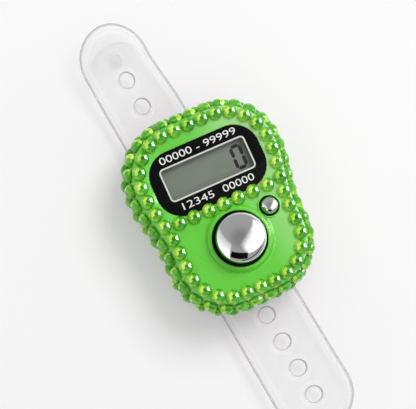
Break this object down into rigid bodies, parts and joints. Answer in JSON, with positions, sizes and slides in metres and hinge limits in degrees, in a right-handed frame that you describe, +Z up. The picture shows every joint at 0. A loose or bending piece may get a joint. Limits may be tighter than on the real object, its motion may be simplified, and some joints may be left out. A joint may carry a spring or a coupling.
{
  "type": "finger tally counter",
  "caption": "Finger tally counter with a digital display, a domed count button, a small reset button, rows of faceted stones and a clear strap that slides under the case.",
  "frame": {"origin": "middle of the case on the flat underside that it stands on", "axes": "+X to the display's right, +Y along the case towards the display and strap stud, +Z up out of the face"},
  "size_m": [0.0322, 0.0884, 0.0181],
  "materials": {
    "case_plastic": "glossy moulded",
    "stone": "faceted resin",
    "chrome": "mirror plated",
    "strap_clear": "clear soft vinyl",
    "mask_black": "gloss printed",
    "lens_clear": "clear polished",
    "lcd_grey": "polarising film",
    "lcd_glass": "clear",
    "reflector": "satin film",
    "holder_white": "moulded",
    "elastomer": "striped silicone",
    "board": "lacquered laminate",
    "resin_black": "cast resin",
    "component": "fired body",
    "steel": "plated",
    "contact_brass": "sprung strip",
    "silicone": "translucent silicone",
    "carbon": "carbon filled"
  },
  "bodies": {
    "case": {"top_shell": "case_plastic", "bottom_shell": "case_plastic", "case_screws": "steel", "display_mask": "mask_black", "display_lens": "lens_clear", "lcd_polariser": "lcd_grey", "lcd_front_glass": "lcd_glass", "lcd_back_glass": "lcd_glass", "lcd_reflector": "reflector", "display_holder": "holder_white", "zebra_strip": "elastomer", "circuit_board": "board", "board_screws": "steel", "chip_cover": "resin_black", "board_components": "component", "battery_cell": "steel", "battery_contact_negative": "contact_brass", "battery_contact_positive": "contact_brass", "count_key_dome": "silicone", "reset_key_dome": "silicone", "face_stones": "stone", "divider_stones": "stone", "upper_side_stones": "stone", "lower_side_stones": "stone"},
    "count_button": {"count_button": "chrome", "count_key_pill": "carbon"},
    "reset_button": {"reset_button": "chrome", "reset_key_pill": "carbon"},
    "strap": {"strap": "strap_clear"}
  },
  "joints": [
    {"name": "count_press", "type": "slide", "parent": "case", "child": "count_button", "axis": [0, 0, -1], "range_m": [0, 0.00095], "stiffness_N_per_m": 700, "deforming": ["count_key_dome"]},
    {"name": "reset_press", "type": "slide", "parent": "case", "child": "reset_button", "axis": [0, 0, -1], "range_m": [0, 0.00095], "stiffness_N_per_m": 500, "deforming": ["reset_key_dome"]},
    {"name": "strap_slide", "type": "slide", "parent": "case", "child": "strap", "axis": [-0.1132, 0.9936, 0], "range_m": [-0.009, 0.009]}
  ]
}
